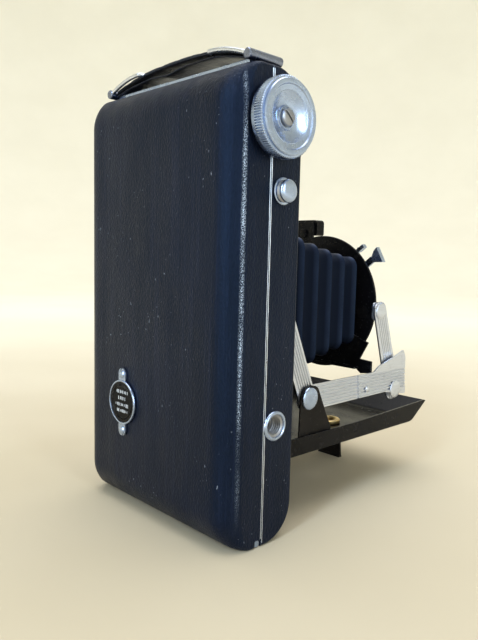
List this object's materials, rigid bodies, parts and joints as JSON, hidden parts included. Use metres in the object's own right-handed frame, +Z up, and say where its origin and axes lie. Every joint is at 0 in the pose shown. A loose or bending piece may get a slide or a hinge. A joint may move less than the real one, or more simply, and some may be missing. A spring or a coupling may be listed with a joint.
{
  "type": "folding roll-film camera",
  "caption": "Upright folding roll-film camera with its bed open: pleated bellows, linkage struts, round lens standard, winding knob, strap and a hinged back.",
  "frame": {"origin": "middle of the body's lower end, on the plane it stands on", "axes": "+Z up along the long side of the body, -Y the way the lens looks, +X away from the winding knob"},
  "size_m": [0.0898, 0.1267, 0.1578],
  "materials": {
    "leatherette": "near-black grained leatherette with a blue sheen, scuffed at the edges",
    "strap_leather": "smooth black leather, creased and worn at the edges",
    "inner_black": "matt black lacquer",
    "black_enamel": "gloss black enamel",
    "bright_nickel": "polished nickel plate, lightly tarnished",
    "dark_nickel": "dark blued nickel",
    "satin_metal": "satin metal with fine lengthwise grooves",
    "steel": "plain ground steel",
    "brass": "worn brass",
    "bellows_leather": "thin dark blue-black bellows leather with a soft shine",
    "clear_glass": "clear polished optical glass",
    "red_glass": "dark red safety window"
  },
  "bodies": {
    "camera_body": {"front_body": "leatherette", "film_gate_frame": "inner_black", "handle_rail": "bright_nickel", "knob_bearing": "steel", "button_collar": "bright_nickel", "release_spring": "steel", "tripod_socket": "bright_nickel", "bed_hinge_pin": "steel", "back_hinge_fixed_leaf": "bright_nickel", "spool_pin_supply_left": "steel", "spool_pin_supply_right": "steel", "spool_pin_take_up": "steel", "strap": "strap_leather", "strap_clip_left": "dark_nickel", "strap_clip_right": "dark_nickel", "bellows": "bellows_leather"},
    "back": {"back_cover": "leatherette", "back_hinge_moving_leaf": "bright_nickel", "pressure_spring_lower": "steel", "pressure_spring_upper": "steel", "window_ring": "bright_nickel", "window_glass": "red_glass"},
    "window_cover": {"window_cover": "black_enamel"},
    "pressure_plate": {"pressure_plate": "inner_black"},
    "back_latch": {"back_latch": "bright_nickel"},
    "wind_knob": {"wind_knob": "bright_nickel", "wind_knob_screw": "bright_nickel", "wind_key": "steel"},
    "take_up_spool": {"take_up_spool": "inner_black"},
    "supply_spool": {"supply_spool": "inner_black"},
    "roller_lower": {"film_roller_lower": "steel"},
    "roller_upper": {"film_roller_upper": "steel"},
    "release_button": {"release_button": "bright_nickel", "bed_catch": "steel"},
    "bed": {"bed_plate": "black_enamel", "bed_bush": "brass", "bed_ear_left": "black_enamel", "bed_ear_right": "black_enamel", "bed_rivet_left": "bright_nickel", "bed_rivet_right": "bright_nickel", "foot_bracket": "black_enamel"},
    "foot": {"foot": "black_enamel"},
    "side_arms": {"side_arm_left": "satin_metal", "side_arm_right": "satin_metal"},
    "rear_braces": {"rear_brace_left": "satin_metal", "rear_brace_right": "satin_metal"},
    "front_struts": {"front_strut_left": "satin_metal", "front_strut_right": "satin_metal"},
    "standard": {"standard_plate": "black_enamel", "standard_yoke": "black_enamel", "shutter_housing": "black_enamel", "rear_lens": "clear_glass"},
    "speed_ring": {"speed_ring": "bright_nickel"},
    "focus_ring": {"focus_ring": "bright_nickel", "front_lens": "clear_glass"},
    "release_lever": {"release_lever": "bright_nickel"},
    "aperture_lever": {"aperture_lever": "bright_nickel"},
    "finder": {"finder_body": "black_enamel", "finder_lens": "clear_glass"}
  },
  "joints": [
    {"name": "bed_hinge", "type": "hinge", "parent": "camera_body", "child": "bed", "pos_m": [0, -0.014, 0.0255], "axis": [-1, 0, 0], "range_deg": [0, 90], "deforming": ["bellows"]},
    {"name": "side_arm_pivot", "type": "hinge", "parent": "bed", "child": "side_arms", "pos_m": [0, -0.0315, 0.043], "axis": [-1, 0, 0], "range_deg": [-9, 0]},
    {"name": "rear_brace_pivot", "type": "hinge", "parent": "bed", "child": "rear_braces", "pos_m": [0, -0.0315, 0.043], "axis": [-1, 0, 0], "range_deg": [-115, 0]},
    {"name": "elbow_pivot", "type": "hinge", "parent": "side_arms", "child": "front_struts", "pos_m": [0, -0.089, 0.0384], "axis": [-1, 0, 0], "range_deg": [0, 69]},
    {"name": "standard_pivot", "type": "hinge", "parent": "front_struts", "child": "standard", "pos_m": [0, -0.078, 0.0716], "axis": [-1, 0, 0], "range_deg": [-150, 0]},
    {"name": "foot_hinge", "type": "hinge", "parent": "bed", "child": "foot", "pos_m": [0.005, -0.0924, 0.0216], "axis": [1, 0, 0], "range_deg": [0, 88]},
    {"name": "back_hinge", "type": "hinge", "parent": "camera_body", "child": "back", "pos_m": [0, 0.0002, 0.0012], "axis": [-1, 0, 0], "range_deg": [0, 95]},
    {"name": "window_cover_turn", "type": "hinge", "parent": "back", "child": "window_cover", "pos_m": [0.0145, 0.0156, 0.0396], "axis": [0, 1, 0], "range_deg": [0, 90]},
    {"name": "pressure_plate_slide", "type": "slide", "parent": "back", "child": "pressure_plate", "axis": [0, 1, 0], "range_m": [0, 0.0012], "stiffness_N_per_m": 200, "springref_m": -0.002, "deforming": ["pressure_spring_lower", "pressure_spring_upper"]},
    {"name": "back_latch_slide", "type": "slide", "parent": "camera_body", "child": "back_latch", "axis": [0, 0, -1], "range_m": [0, 0.004]},
    {"name": "wind_knob_turn", "type": "hinge", "parent": "camera_body", "child": "wind_knob", "pos_m": [-0.041, -0.0022, 0.134], "axis": [1, 0, 0], "continuous": true},
    {"name": "take_up_spool_turn", "type": "hinge", "parent": "camera_body", "child": "take_up_spool", "pos_m": [0, -0.0022, 0.134], "axis": [1, 0, 0], "continuous": true},
    {"name": "supply_spool_turn", "type": "hinge", "parent": "camera_body", "child": "supply_spool", "pos_m": [0, -0.0022, 0.016], "axis": [1, 0, 0], "continuous": true},
    {"name": "roller_lower_turn", "type": "hinge", "parent": "camera_body", "child": "roller_lower", "pos_m": [0, 0.0084, 0.0254], "axis": [1, 0, 0], "continuous": true},
    {"name": "roller_upper_turn", "type": "hinge", "parent": "camera_body", "child": "roller_upper", "pos_m": [0, 0.0084, 0.1254], "axis": [1, 0, 0], "continuous": true},
    {"name": "release_button_press", "type": "slide", "parent": "camera_body", "child": "release_button", "axis": [1, 0, 0], "range_m": [0, 0.0009], "stiffness_N_per_m": 300, "springref_m": -0.002, "deforming": ["release_spring"]},
    {"name": "speed_ring_turn", "type": "hinge", "parent": "standard", "child": "speed_ring", "pos_m": [0, -0.0846, 0.0737], "axis": [0, 1, 0], "range_deg": [0, 110]},
    {"name": "focus_ring_turn", "type": "hinge", "parent": "standard", "child": "focus_ring", "pos_m": [0, -0.086, 0.0737], "axis": [0, 1, 0], "range_deg": [0, 270]},
    {"name": "release_lever_press", "type": "hinge", "parent": "standard", "child": "release_lever", "pos_m": [0, -0.0806, 0.0737], "axis": [0, 1, 0], "range_deg": [0, 6], "stiffness_Nm_per_rad": 0.05, "springref_deg": -5.73},
    {"name": "aperture_lever_turn", "type": "hinge", "parent": "standard", "child": "aperture_lever", "pos_m": [0, -0.0806, 0.0737], "axis": [0, 1, 0], "range_deg": [0, 30]},
    {"name": "finder_turn", "type": "hinge", "parent": "standard", "child": "finder", "pos_m": [0.011, -0.078, 0.1056], "axis": [0, 1, 0], "range_deg": [0, 90]}
  ],
  "couplings": [
    {"joint": "side_arm_pivot", "follows": "bed_hinge", "ratio": -0.096667},
    {"joint": "elbow_pivot", "follows": "bed_hinge", "ratio": 0.76},
    {"joint": "standard_pivot", "follows": "bed_hinge", "ratio": -1.6633},
    {"joint": "rear_brace_pivot", "follows": "bed_hinge", "ratio": -1.2667},
    {"joint": "take_up_spool_turn", "follows": "wind_knob_turn", "ratio": 1}
  ]
}
